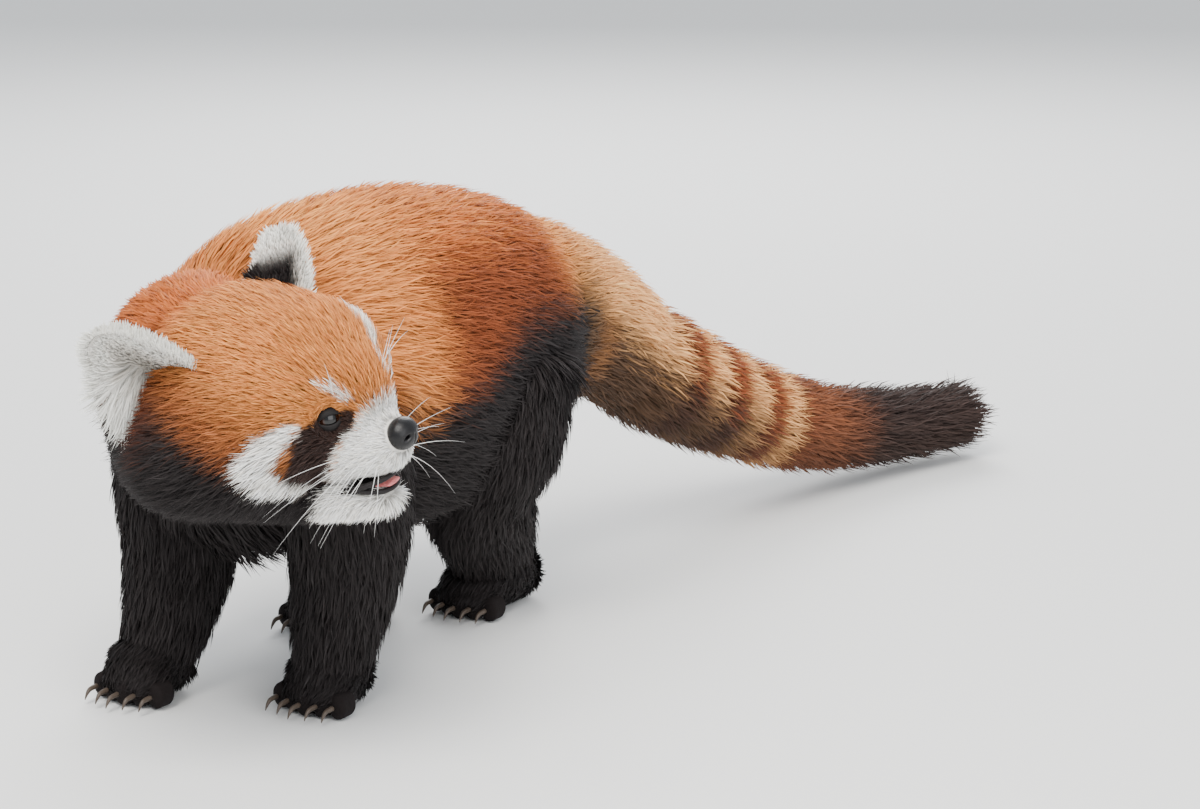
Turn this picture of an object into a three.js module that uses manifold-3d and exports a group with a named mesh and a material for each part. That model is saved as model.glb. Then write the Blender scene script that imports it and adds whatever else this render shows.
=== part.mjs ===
// A red panda in a slow walk with its head turned to its left, as a still, life-size model.
// Millimetres, +Z up. The animal heads towards -Y and its left side is towards +X.
import * as THREE from "three";
import { mergeVertices } from "three/addons/utils/BufferGeometryUtils.js";
import Module from "manifold-3d";

const wasm = await Module();
wasm.setup();
const { Manifold, Mesh } = wasm;

// Driving sizes
const gap = 0.3; // free space between touching nodes
const weldDistance = 1e-3;
const weldPasses = 8;
const soleLevel = 0; // the floor, where the soles' flats lie
const eyeRadius = 7;
const lidThickness = 1.7;
const eyeOpening = { halfWidth: 6.4, halfHeight: 3.2 };
const clawLength = 11;
const clawRadius = 1.9;
const nostrilRadius = 2.1;

const V = (x, y, z) => new THREE.Vector3(x, y, z);
const rad = THREE.MathUtils.degToRad;

// A closed mesh as a solid for joining and cutting.
function solid(geometry) {
  const merged = mergeVertices(geometry, weldDistance);
  return new Manifold(
    new Mesh({
      numProp: 3,
      vertProperties: new Float32Array(merged.attributes.position.array),
      triVerts: new Uint32Array(merged.index.array),
    }),
  );
}

// The largest closed surface of a solid, welded.
function largest(made) {
  const pick = (bodies) => bodies.reduce((a, b) => (b.volume() > a.volume() ? b : a));
  let kept = pick(made.decompose());
  for (let pass = 0; pass < weldPasses; pass++) {
    const bodies = solid(geometryOf(kept)).decompose();
    kept = pick(bodies);
    if (bodies.length === 1) break;
  }
  return kept;
}

function geometryOf(made) {
  const m = made.getMesh();
  const geometry = new THREE.BufferGeometry();
  const position = new Float32Array(m.numVert * 3);
  for (let i = 0; i < m.numVert; i++) {
    position.set(m.vertProperties.subarray(i * m.numProp, i * m.numProp + 3), i * 3);
  }
  geometry.setAttribute("position", new THREE.BufferAttribute(position, 3));
  geometry.setIndex(new THREE.BufferAttribute(m.triVerts, 1));
  return geometry;
}

// Catmull-Rom through the stations' numbers, at t from 0 to 1.
function between(stations, key, t) {
  const last = stations.length - 1;
  const at = Math.min(t * last, last - 1e-9);
  const i = Math.floor(at);
  const s = at - i;
  const value = (k) => stations[Math.max(0, Math.min(last, k))][key];
  const [a, b, c, d] = [value(i - 1), value(i), value(i + 1), value(i + 2)];
  return (
    0.5 * (2 * b + (c - a) * s + (2 * a - 5 * b + 4 * c - d) * s * s + (3 * b - a - 3 * c + d) * s * s * s)
  );
}

// The path of a body at t from 0 to 1: its point, and the directions along, to the side and to the top.
function pathAt({ stations, up }, t) {
  const p = V(...[0, 1, 2].map((k) => between(stations, k, t)));
  const ahead = V(...[0, 1, 2].map((k) => between(stations, k, Math.min(1, t + 0.01))));
  const behind = V(...[0, 1, 2].map((k) => between(stations, k, Math.max(0, t - 0.01))));
  const along = ahead.sub(behind).normalize();
  const side = V().crossVectors(along, up).normalize();
  return { p, along, side, top: V().crossVectors(side, along) };
}

// A point of the body's surface, `angle` running from its side over its top.
function surfaceAt(shape, t, angle, grow = 0, scale = 1, shift = 0) {
  const { p, along, side, top } = pathAt(shape, t);
  const [w, a, b] = [3, 4, 5].map((k) => (between(shape.stations, k, t) + grow) * scale);
  const s = Math.sin(angle);
  const q = p.clone().addScaledVector(along, shift);
  return q.addScaledVector(side, Math.cos(angle) * w).addScaledVector(top, s * (s > 0 ? a : b));
}

// A body of round sections along a path. A station is [x, y, z, half width, height above, depth below].
// The section stands square to the path, its height towards `up`. Both ends close in a round cap.
function loft({ stations, up, rings, sides, grow = 0 }) {
  const shape = { stations, up };
  const position = [];
  const index = [];
  const ringAt = (t, scale, shift) => {
    for (let j = 0; j < sides; j++) {
      position.push(...surfaceAt(shape, t, (2 * Math.PI * j) / sides, grow, scale, shift).toArray());
    }
  };
  const pole = (t, shift) => {
    const { p, along } = pathAt(shape, t);
    position.push(...p.addScaledVector(along, shift).toArray());
  };
  const capOf = (t) => 0.5 * Math.min(between(stations, 3, t), between(stations, 4, t)) + grow;
  const [startCap, endCap] = [capOf(0), capOf(1)];
  pole(0, -startCap);
  ringAt(0, 0.7, -startCap * 0.7);
  for (let i = 0; i <= rings; i++) ringAt(i / rings, 1, 0);
  ringAt(1, 0.7, endCap * 0.7);
  pole(1, endCap);
  const total = rings + 3;
  const at = (i, j) => 1 + i * sides + (j % sides);
  for (let j = 0; j < sides; j++) {
    index.push(0, at(0, j), at(0, j + 1));
    for (let i = 0; i < total - 1; i++) {
      index.push(at(i, j), at(i + 1, j), at(i, j + 1), at(i, j + 1), at(i + 1, j), at(i + 1, j + 1));
    }
    index.push(1 + total * sides, at(total - 1, j + 1), at(total - 1, j));
  }
  return shell(position, index);
}

// A closed mesh from plain lists of numbers.
function shell(position, index) {
  const geometry = new THREE.BufferGeometry();
  geometry.setAttribute("position", new THREE.Float32BufferAttribute(position, 3));
  geometry.setIndex(index);
  return solid(geometry);
}

const UP = V(0, 0, 1);
const AHEAD = V(0, -1, 0);
const make = (shape, grow = 0) => loft({ ...shape, grow });

// A ball squashed to three half sizes.
function ball([x, y, z], [a, b, c], segments = 20) {
  return Manifold.sphere(1, segments).scale([a, b, c]).translate([x, y, z]);
}

// Torso, from the chest to the rump
const torsoShape = {
  up: UP,
  rings: 12,
  sides: 20,
  stations: [
    [-28, -146, 168, 48, 62, 62],
    [-26, -116, 174, 66, 82, 86],
    [-12, -60, 182, 86, 97, 98],
    [-4, 0, 184, 88, 102, 102],
    [-3, 60, 182, 84, 98, 98],
    [-3, 118, 176, 76, 88, 84],
    [-2, 165, 168, 56, 66, 60],
  ],
};

// Neck, from the shoulders round to the back of the head
const neckShape = {
  up: UP,
  rings: 6,
  sides: 20,
  stations: [
    [-28, -104, 186, 58, 68, 78],
    [-8, -144, 194, 60, 66, 74],
    [30, -172, 196, 56, 58, 62],
  ],
};

// Head, in its own frame: +X to the nose, +Y to its left, +Z to the crown
const headPlace = { at: V(81, -177, 199), yaw: 94, pitch: 9, roll: 8 };
function headMatrix() {
  const [yaw, pitch, roll] = [headPlace.yaw, headPlace.pitch, headPlace.roll].map(rad);
  const ahead = V(Math.sin(yaw) * Math.cos(pitch), -Math.cos(yaw) * Math.cos(pitch), Math.sin(pitch));
  const level = V(Math.cos(yaw), Math.sin(yaw), 0);
  const above = V().crossVectors(ahead, level);
  const left = level.clone().multiplyScalar(Math.cos(roll)).addScaledVector(above, Math.sin(roll));
  const crown = V().crossVectors(ahead, left);
  return new THREE.Matrix4().makeBasis(ahead, left, crown).setPosition(headPlace.at);
}
const headToWorld = headMatrix().toArray();
const inHead = (made) => made.transform(headToWorld);

const skullShape = {
  up: UP,
  rings: 13,
  sides: 24,
  stations: [
    [-58, 0, 4, 42, 44, 42],
    [-38, 0, 2, 66, 60, 54],
    [-12, 0, 0, 77, 66, 58],
    [14, 0, -2, 73, 60, 54],
    [34, 0, -8, 52, 44, 40],
    [44, 0, -14, 34, 32, 28],
  ],
};
const muzzleShape = {
  up: UP,
  rings: 7,
  sides: 20,
  stations: [
    [28, 0, -14, 42, 34, 28],
    [44, 0, -18, 30, 25, 22],
    [57, 0, -21, 22, 19, 18],
    [66, 0, -22, 15, 14, 14],
  ],
};
const jawShape = {
  up: UP,
  rings: 7,
  sides: 16,
  stations: [
    [6, 0, -40, 38, 18, 20],
    [28, 0, -47, 26, 12, 13],
    [44, 0, -51, 17, 8, 9],
    [54, 0, -52, 11, 6, 6],
  ],
};
const mouthShape = {
  up: UP,
  rings: 6,
  sides: 12,
  stations: [
    [26, 0, -41, 33, 1.2, 1.2],
    [40, 0, -42, 36, 2.6, 2.6],
    [54, 0, -43, 32, 3.6, 3.6],
    [72, 0, -43, 26, 4.4, 4.4],
  ],
};
const tongueShape = {
  up: UP,
  rings: 5,
  sides: 10,
  stations: [
    [30, 0, -42, 9, 0.6, 0.8],
    [44, 0, -43.2, 9.5, 1.2, 1.2],
    [58, 0, -44.2, 6.5, 1.2, 1.2],
  ],
};
const eyePlace = { x: 43, y: 25.5, z: 3 };
const gaze = V(0.78, 0.6, 0.05).normalize();
const earShape = (side) => ({
  up: V(0.15, 0.98 * side, 0),
  rings: 6,
  sides: 14,
  stations: [
    [-32, 52 * side, 32, 27, 9, 10],
    [-35, 66 * side, 46, 28, 8, 9],
    [-39, 79 * side, 62, 24, 6, 7],
    [-43, 87 * side, 76, 12, 4, 5],
  ],
});
const cupShape = (side) => ({
  up: V(0.15, 0.98 * side, 0),
  rings: 4,
  sides: 10,
  stations: [
    [-31, 64 * side, 34, 18, 8, 9],
    [-33, 77 * side, 46, 20, 9, 10],
    [-37, 88 * side, 60, 16, 8, 9],
    [-40, 94 * side, 71, 6, 6, 6],
  ],
});

// The almond between the lids: a flattened ball along the gaze.
function lidOpening(side) {
  const across = V(-gaze.y, gaze.x, 0).normalize();
  const over = V().crossVectors(gaze, across);
  const turn = new THREE.Matrix4().makeBasis(gaze, across, over);
  const shape = ball([0, 0, 0], [14, eyeOpening.halfWidth, eyeOpening.halfHeight], 20);
  const placed = shape.transform(turn.toArray());
  const reach = 9; // how far the almond's middle lies out along the gaze
  const mirrored = side > 0 ? placed : placed.mirror([0, 1, 0]);
  return mirrored.translate([
    eyePlace.x + gaze.x * reach,
    side * (eyePlace.y + gaze.y * reach),
    eyePlace.z + gaze.z * reach,
  ]);
}
const eyeBall = (side, radius) => ball([eyePlace.x, side * eyePlace.y, eyePlace.z], [radius, radius, radius], 24);

// Nose pad, with a nostril on each side
const noseSize = { at: [71, 0, -16], half: [8, 10.5, 9] };
function nosePad(grow) {
  return ball(
    noseSize.at,
    noseSize.half.map((n) => n + grow),
    20,
  );
}
function nostril(side) {
  return ball([78, 6 * side, -17.5], [5, nostrilRadius, nostrilRadius], 12);
}

// Legs, each from the shoulder or hip down to the wrist or hock
const legStations = {
  front_left: [
    [50, -96, 176, 44, 48, 48],
    [56, -92, 132, 40, 44, 42],
    [54, -90, 92, 36, 38, 38],
    [50, -94, 54, 30, 32, 33],
    [47, -98, 26, 24, 26, 26],
  ],
  front_right: [
    [-48, -104, 176, 44, 48, 48],
    [-54, -104, 132, 42, 46, 44],
    [-54, -108, 92, 37, 40, 40],
    [-53, -120, 54, 30, 34, 34],
    [-53, -132, 28, 25, 27, 26],
  ],
  hind_left: [
    [42, 96, 168, 44, 56, 42],
    [42, 84, 128, 43, 52, 42],
    [28, 84, 92, 37, 46, 42],
    [18, 104, 54, 30, 38, 38],
    [14, 114, 28, 25, 32, 32],
  ],
  hind_right: [
    [-46, 96, 168, 44, 56, 44],
    [-52, 72, 128, 44, 54, 46],
    [-52, 52, 92, 38, 48, 44],
    [-49, 40, 54, 31, 36, 40],
    [-47, 34, 28, 26, 32, 32],
  ],
};
const legShape = (name) => ({ up: AHEAD, rings: 8, sides: 14, stations: legStations[name] });
const elbowLevel = { front: 96, hind: 92 };
const wristLevel = { front: 34, hind: 36 };

// Paws: the sole's middle, its length and half width, and the way its toes point
const pawPlaces = {
  front_left: { x: 46, y: -100, length: 60, half: 24, turn: 0 },
  front_right: { x: -54, y: -142, length: 60, half: 24, turn: 0 },
  hind_left: { x: 12, y: 114, length: 84, half: 24, turn: 0 },
  hind_right: { x: -47, y: 36, length: 84, half: 24, turn: 0 },
};
function pawSolid({ x, y, length, half, turn }) {
  const front = -length / 2;
  const back = length / 2;
  let made = loft({
    up: UP,
    rings: 5,
    sides: 12,
    stations: [
      [0, back - 12, 17, half * 0.8, 22, 20],
      [0, back - 30, 18, half * 0.95, 24, 22],
      [0, front + 26, 16, half, 19, 20],
      [0, front + 12, 11, half * 0.86, 12, 16],
    ],
  });
  for (const toe of [-2, -1, 0, 1, 2]) {
    const splay = toe * 0.42 * half;
    const reach = front + 4 + Math.abs(toe) * 2.6;
    made = made.add(ball([splay, reach + 4, 8.5], [half * 0.27, 14, 9], 8));
    const claw = loft({
      up: UP,
      rings: 2,
      sides: 5,
      stations: [
        [splay, reach - 4, 9, clawRadius, clawRadius, clawRadius],
        [splay * 1.03, reach - 4 - clawLength * 0.6, 8, clawRadius * 0.8, clawRadius * 0.8, clawRadius * 0.8],
        [splay * 1.05, reach - 4 - clawLength, 3.5, 0.5, 0.5, 0.5],
      ],
    });
    made = made.add(claw);
  }
  return made
    .rotate([0, 0, turn])
    .translate([x, y, 0])
    .trimByPlane([0, 0, 1], soleLevel);
}

// Tail, in lengths
const tailShape = {
  up: UP,
  rings: 16,
  sides: 14,
  stations: [
    [0, 130, 200, 42, 40, 40],
    [4, 190, 184, 44, 42, 44],
    [12, 252, 144, 43, 43, 42],
    [22, 320, 104, 41, 42, 38],
    [32, 392, 70, 37, 39, 33],
    [44, 464, 46, 33, 34, 30],
    [62, 536, 34, 30, 30, 27],
    [85, 602, 30, 26, 26, 24],
  ],
};
const tailCuts = [268, 350, 432, 514]; // distances behind the stance's middle

const nodes = [];
function add(name, made, look) {
  nodes.push({ name, made, look });
}

const coats = {
  rust: { colour: 0xb5652c },
  dark: { colour: 0x241a18 },
  cream: { colour: 0xeee6da },
  tail: { colour: 0xb0703c },
};
const wet = { colour: 0x141112, roughness: 0.35 };
const tongueSkin = { colour: 0xc9686a, roughness: 0.5 };

// Head and what it carries
const both = [
  ["left", 1],
  ["right", -1],
];
const opened = (made) => made.subtract(make(mouthShape));
function headSolid(grow) {
  let made = make(skullShape, grow).add(make(muzzleShape, grow));
  for (const [, side] of both) made = made.add(eyeBall(side, eyeRadius + lidThickness + grow));
  return made;
}
const headWhole = headSolid(0);
const headFree = headSolid(gap);
const jawFree = make(jawShape, gap);
let headMade = opened(headWhole).subtract(jawFree).subtract(nosePad(gap));
for (const [name, side] of both) {
  headMade = headMade.subtract(eyeBall(side, eyeRadius + gap)).subtract(lidOpening(side));
  add("eye_" + name, inHead(eyeBall(side, eyeRadius)), wet);
  const ear = make(earShape(side)).subtract(make(cupShape(side))).subtract(headFree);
  add("ear_" + name, inHead(ear), coats.cream);
}
add("head", inHead(headMade), coats.rust);
const nose = nosePad(0).subtract(nostril(1)).subtract(nostril(-1));
add("nose", inHead(nose), wet);
add("jaw", inHead(opened(make(jawShape))), coats.cream);
add("tongue", inHead(make(tongueShape)), tongueSkin);

// Neck, torso, legs and tail, each cut clear of those before it
const earFree = (side) => make(earShape(side), gap);
const headSpace = inHead(headFree.add(jawFree).add(earFree(1)).add(earFree(-1)));
const torsoSpace = make(torsoShape, gap);
const neckSpace = make(neckShape, 2 * gap);
add("neck", make(neckShape).subtract(headSpace), coats.rust);
add("torso", make(torsoShape).subtract(headSpace).subtract(neckSpace), coats.rust);
for (const name of Object.keys(legStations)) {
  const kind = name.split("_")[0];
  const paw = pawSolid(pawPlaces[name]);
  const leg = make(legShape(name)).subtract(torsoSpace).subtract(headSpace).subtract(neckSpace);
  const [elbow, wrist] = [elbowLevel[kind], wristLevel[kind]];
  add("leg_" + name + "_upper", leg.trimByPlane([0, 0, 1], elbow + gap), coats.dark);
  const lower = leg.trimByPlane([0, 0, -1], -elbow).trimByPlane([0, 0, 1], wrist + gap);
  add("leg_" + name + "_lower", lower, coats.dark);
  add("paw_" + name, paw.trimByPlane([0, 0, -1], -wrist), coats.dark);
}
const tailWhole = make(tailShape).trimByPlane([0, 0, 1], soleLevel).subtract(torsoSpace);
const tailEnds = [0, ...tailCuts, 1000];
for (let i = 0; i < tailEnds.length - 1; i++) {
  const slice = tailWhole.trimByPlane([0, 1, 0], tailEnds[i] + gap).trimByPlane([0, -1, 0], -tailEnds[i + 1]);
  add("tail_" + (i + 1), slice, coats.tail);
}

// The origin is the middle of the bounding box, at the floor.
const whole = Manifold.union(nodes.map(({ made }) => largest(made))).boundingBox();
const toOrigin = [0, 1].map((k) => -0.5 * (whole.min[k] + whole.max[k]));
const group = new THREE.Group();
for (const { name, made, look } of nodes) {
  const geometry = geometryOf(largest(largest(made).translate([...toOrigin, -soleLevel])));
  geometry.computeVertexNormals();
  const { colour, roughness = 0.85 } = look;
  const material = new THREE.MeshStandardMaterial({ color: colour, roughness, metalness: 0 });
  const mesh = new THREE.Mesh(geometry, material);
  mesh.name = name;
  group.add(mesh);
}
export default group;
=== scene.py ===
# A red panda in a slow walk, its head turned to its left, as a life-size still model.
# Shapes are worked out in millimetres in the animal's own frame, where it heads towards -Y with its
# left side towards +X, and are then moved into the row frame, in metres.
import math

import bpy
import numpy as np
from mathutils import Matrix, Vector
from mathutils.kdtree import KDTree


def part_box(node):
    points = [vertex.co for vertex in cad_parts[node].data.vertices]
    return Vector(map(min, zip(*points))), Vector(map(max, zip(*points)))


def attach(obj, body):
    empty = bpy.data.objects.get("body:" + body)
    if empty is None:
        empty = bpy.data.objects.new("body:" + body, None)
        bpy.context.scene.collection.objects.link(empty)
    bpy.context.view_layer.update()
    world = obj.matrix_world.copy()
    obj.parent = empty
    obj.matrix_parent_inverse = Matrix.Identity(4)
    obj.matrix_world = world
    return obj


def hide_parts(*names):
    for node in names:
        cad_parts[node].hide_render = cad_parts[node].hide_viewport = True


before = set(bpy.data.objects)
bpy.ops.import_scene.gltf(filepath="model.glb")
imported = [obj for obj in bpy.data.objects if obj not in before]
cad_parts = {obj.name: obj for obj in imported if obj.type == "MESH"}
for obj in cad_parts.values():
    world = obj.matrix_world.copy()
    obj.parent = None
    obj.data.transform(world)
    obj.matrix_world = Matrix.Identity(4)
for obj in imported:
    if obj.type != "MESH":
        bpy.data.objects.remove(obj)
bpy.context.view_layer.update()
rng = np.random.default_rng(7)
mm = 0.001


# Numbers along a path

def curve(stations, t):
    # Catmull-Rom through the stations' rows at each t from 0 to 1.
    rows = np.asarray(stations, float)
    last = len(rows) - 1
    at = np.clip(np.asarray(t, float) * last, 0, last - 1e-9)
    i = at.astype(int)
    s = (at - i)[:, None]
    a, b, c, d = (rows[np.clip(i + k, 0, last)] for k in (-1, 0, 1, 2))
    return 0.5 * (2 * b + (c - a) * s + (2 * a - 5 * b + 4 * c - d) * s**2 + (3 * b - a - 3 * c + d) * s**3)


def unit(v):
    # Each vector over its own length.
    return v / np.maximum(np.linalg.norm(v, axis=-1, keepdims=True), 1e-12)


def smooth(x, low, high):
    # 0 below low and 1 above high, and t squared times (3 - 2t) between, where t is the share of the way.
    t = np.clip((x - low) / (high - low), 0, 1)
    return t * t * (3 - 2 * t)


def mix(a, b, t):
    # a times (1 - t) plus b times t, for each row.
    t = np.asarray(t)[..., None]
    return a * (1 - t) + b * t


def linear(red, green, blue):
    # A display colour from 0 to 255 as linear light.
    c = np.array([red, green, blue]) / 255
    return np.where(c <= 0.04045, c / 12.92, ((c + 0.055) / 1.055) ** 2.4)


# The head's own frame: +X to the nose, +Y to its left, +Z to the crown
headPlace = {"at": (81, -177, 199), "yaw": 94, "pitch": 9, "roll": 8}
yaw, pitch, roll = (math.radians(headPlace[k]) for k in ("yaw", "pitch", "roll"))
headAhead = np.array([math.sin(yaw) * math.cos(pitch), -math.cos(yaw) * math.cos(pitch), math.sin(pitch)])
levelSide = np.array([math.cos(yaw), math.sin(yaw), 0])
headLeft = math.cos(roll) * levelSide + math.sin(roll) * np.cross(headAhead, levelSide)
headAxes = np.stack([headAhead, headLeft, np.cross(headAhead, headLeft)])
headAt = np.array(headPlace["at"], float)
# The left eye's middle, its ball's radius and the way that it looks, all in the head's frame
eyePlace = np.array([43, 25.5, 3])
eyeRadius = 7.0
gaze = unit(np.array([0.78, 0.6, 0.05]))


def fromHead(p):
    # From the head's frame to the animal's: the head's place plus each coordinate along its own axis.
    return headAt + p @ headAxes


def toHead(p):
    # From the animal's frame to the head's: the way from the head's place, measured along each axis.
    return (p - headAt) @ headAxes.T


# The solid of the right eye tells where the animal's frame lies in the row frame.
low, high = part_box("eye_right")
eyeInRow = 0.5 * (np.array(low) + np.array(high))
toRow = eyeInRow - fromHead(eyePlace * [1, -1, 1]) * mm


def inRow(p):
    # Millimetres in the animal's frame to metres in the row frame, by scale and shift.
    return p * mm + toRow


# Parts of the body: a path of [x, y, z, half width, height above, depth below], as the solids have it.
# coat is how deep the skin lies under the tips, length the tufts' own and lift their slope in radians.
# sense is 1 where the tufts lie along the path and -1 where they lie against it, and fall draws them down.
upward = (0, 0, 1)
parts = {
    "torso": {
        "up": upward, "coat": 12, "length": 28, "lift": 0.27, "sense": 1, "fall": 0.3,
        "stations": [(-28, -146, 168, 48, 62, 62), (-26, -116, 174, 66, 82, 86), (-12, -60, 182, 86, 97, 98),
                     (-4, 0, 184, 88, 102, 102), (-3, 60, 182, 84, 98, 98), (-3, 118, 176, 76, 88, 84),
                     (-2, 165, 168, 56, 66, 60)],
    },
    "neck": {
        "up": upward, "coat": 8, "length": 20, "lift": 0.2, "sense": -1, "fall": 0.4,
        "stations": [(-28, -104, 186, 58, 68, 78), (-8, -144, 194, 60, 66, 74), (30, -172, 196, 56, 58, 62)],
    },
    "skull": {
        "up": upward, "coat": 5, "length": 13, "lift": 0.3, "sense": -1, "fall": 0.25, "head": True,
        "stations": [(-58, 0, 4, 42, 44, 42), (-38, 0, 2, 66, 60, 54), (-12, 0, 0, 77, 66, 58),
                     (14, 0, -2, 73, 60, 54), (34, 0, -8, 52, 44, 40), (44, 0, -14, 34, 32, 28)],
    },
    "muzzle": {
        "up": upward, "coat": 2, "length": 6, "lift": 0.22, "sense": -1, "fall": 0.15, "head": True,
        "stations": [(28, 0, -14, 42, 34, 28), (44, 0, -18, 30, 25, 22), (57, 0, -21, 22, 19, 18),
                     (66, 0, -22, 15, 14, 14)],
    },
    "jaw": {
        "up": upward, "coat": 2.5, "length": 11, "lift": 0.38, "sense": -1, "fall": 0.8, "head": True,
        "stations": [(6, 0, -40, 38, 18, 20), (28, 0, -47, 26, 12, 13), (44, 0, -51, 17, 8, 9),
                     (54, 0, -52, 11, 6, 6)],
    },
    "frontLeftLeg": {
        "up": (0, -1, 0), "coat": 8, "length": 22, "lift": 0.24, "sense": 1,
        "stations": [(50, -96, 176, 44, 48, 48), (56, -92, 132, 40, 44, 42), (54, -90, 92, 36, 38, 38),
                     (50, -94, 54, 30, 32, 33), (47, -98, 26, 24, 26, 26)],
    },
    "frontRightLeg": {
        "up": (0, -1, 0), "coat": 8, "length": 22, "lift": 0.24, "sense": 1,
        "stations": [(-48, -104, 176, 44, 48, 48), (-54, -104, 132, 42, 46, 44), (-54, -108, 92, 37, 40, 40),
                     (-53, -120, 54, 30, 34, 34), (-53, -132, 28, 25, 27, 26)],
    },
    "hindLeftLeg": {
        "up": (0, -1, 0), "coat": 9, "length": 24, "lift": 0.26, "sense": 1,
        "stations": [(42, 96, 168, 44, 56, 42), (42, 84, 128, 43, 52, 42), (28, 84, 92, 37, 46, 42),
                     (18, 104, 54, 30, 38, 38), (14, 114, 28, 25, 32, 32)],
    },
    "hindRightLeg": {
        "up": (0, -1, 0), "coat": 9, "length": 24, "lift": 0.26, "sense": 1,
        "stations": [(-46, 96, 168, 44, 56, 44), (-52, 72, 128, 44, 54, 46), (-52, 52, 92, 38, 48, 44),
                     (-49, 40, 54, 31, 36, 40), (-47, 34, 28, 26, 32, 32)],
    },
    "tail": {
        "up": upward, "coat": 14, "length": 32, "lift": 0.36, "sense": 1,
        "stations": [(0, 130, 200, 42, 40, 40), (4, 190, 184, 44, 42, 44), (12, 252, 144, 43, 43, 42),
                     (22, 320, 104, 41, 42, 38), (32, 392, 70, 37, 39, 33), (44, 464, 46, 33, 34, 30),
                     (62, 536, 34, 30, 30, 27), (85, 602, 30, 26, 26, 24)],
    },
    "rump": {
        "up": upward, "coat": 9, "length": 28, "lift": 0.3, "sense": 1,
        "stations": [(-3, 118, 176, 70, 86, 70), (0, 165, 177, 56, 66, 56), (6, 210, 168, 46, 52, 46),
                     (12, 252, 146, 42, 43, 40)],
    },
}
paws = {
    "frontLeftPaw": {"x": 46, "y": -100, "length": 60, "half": 24},
    "frontRightPaw": {"x": -54, "y": -142, "length": 60, "half": 24},
    "hindLeftPaw": {"x": 12, "y": 114, "length": 84, "half": 24},
    "hindRightPaw": {"x": -47, "y": 36, "length": 84, "half": 24},
}
for name, paw in paws.items():
    x, y, half = paw["x"], paw["y"], paw["half"]
    front, back = y - paw["length"] / 2, y + paw["length"] / 2
    parts[name] = {
        "up": upward, "coat": 2.5, "length": 9, "lift": 0.25, "sense": 1,
        "stations": [(x, back - 12, 17, half * 0.8, 22, 17), (x, back - 30, 18, half * 0.95, 24, 18),
                     (x, front + 26, 16, half, 19, 16), (x, front + 12, 11, half * 0.86, 12, 11)],
    }


def circle(sides):
    # Equal angles once round, without the last one, which is the first again.
    return np.linspace(0, 2 * math.pi, sides, endpoint=False)


def ringQuads(rows, sides, joinEnds=False):
    # Faces between rings: corner j of a ring, j and j + 1 of the next, and j + 1 of the first.
    i, j = np.meshgrid(np.arange(rows if joinEnds else rows - 1), np.arange(sides), indexing="ij")
    k, after = (j + 1) % sides, (i + 1) % rows
    return np.stack([i * sides + j, after * sides + j, after * sides + k, i * sides + k], -1).reshape(-1, 4)


def ballWays(ahead, across, above, rows, sides, gap):
    # Ways out of a ball: cos(bend) ahead plus sin(bend) times (cos(turn) across plus sin(turn) above).
    bend = np.linspace(gap, math.pi - gap, rows)[:, None, None]
    turn = circle(sides)[None, :, None]
    return np.cos(bend) * ahead + np.sin(bend) * (np.cos(turn) * across + np.sin(turn) * above)


def tube(part, rows, sides, inset, capRows=5):
    # A body of round sections along a path: its middle plus cos(angle) times the half width sideways and
    # sin(angle) times the height or depth. Each end rounds off as a quarter circle.
    # Gives its corners, faces and lie, and each corner's share of the way along and round.
    stations = np.array(part["stations"], float)
    t = np.linspace(0, 1, rows)
    step = 0.01
    at = curve(stations, t)
    ahead, behind = curve(stations, np.minimum(t + step, 1)), curve(stations, np.maximum(t - step, 0))
    along = unit(ahead[:, :3] - behind[:, :3])
    side = unit(np.cross(along, np.array(part["up"], float)))
    top = np.cross(side, along)
    turn = np.linspace(0, math.pi / 2, capRows + 1)[1:]
    cap = 0.5 * np.minimum(at[[0, -1], 3], at[[0, -1], 4]) - inset
    order = np.concatenate([np.zeros(capRows, int), np.arange(rows), np.full(capRows, rows - 1)])
    scale = np.concatenate([np.cos(turn)[::-1], np.ones(rows), np.cos(turn)])
    shift = np.concatenate([-np.sin(turn)[::-1] * cap[0], np.zeros(rows), np.sin(turn) * cap[1]])
    angle = circle(sides)
    c, s = np.cos(angle)[None, :, None], np.sin(angle)[None, :, None]
    size = (at[order, 3:6] - inset) * scale[:, None]
    wide, above, below = (size[:, None, k:k + 1] for k in range(3))
    centre = at[order, :3] + along[order] * shift[:, None]
    p = centre[:, None] + side[order][:, None] * c * wide
    p = p + top[order][:, None] * s * np.where(s > 0, above, below)
    lie = np.repeat(along[order][:, None] * part["sense"], sides, axis=1)
    lie = lie + np.array([0, 0, -1.0]) * part.get("fall", 0)
    if part.get("head"):
        p = fromHead(p)
        lie = lie @ headAxes
    rings = len(order)
    place = np.stack(np.broadcast_arrays(np.linspace(0, 1, rings)[:, None], angle[None] / (2 * math.pi)), -1)
    return p.reshape(-1, 3), ringQuads(rings, sides), lie.reshape(-1, 3), place.reshape(-1, 2)


def meshFrom(name, corners, faces):
    # A smooth-shaded object from corners in the row frame and faces that all have as many corners.
    mesh = bpy.data.meshes.new(name)
    faces = np.asarray(faces)
    mesh.vertices.add(len(corners))
    mesh.vertices.foreach_set("co", np.asarray(corners, np.float32).ravel())
    mesh.loops.add(faces.size)
    mesh.loops.foreach_set("vertex_index", faces.astype(np.int32).ravel())
    mesh.polygons.add(len(faces))
    mesh.polygons.foreach_set("loop_start", np.arange(0, faces.size, faces.shape[1], dtype=np.int32))
    mesh.polygons.foreach_set("use_smooth", np.ones(len(faces), bool))
    mesh.update(calc_edges=True)
    mesh.validate()
    made = bpy.data.objects.new(name, mesh)
    bpy.context.scene.collection.objects.link(made)
    return made


def asTriangles(quads):
    # Each quad cut from its first corner to its third.
    return np.concatenate([quads[:, [0, 1, 2]], quads[:, [0, 2, 3]]])


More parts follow.
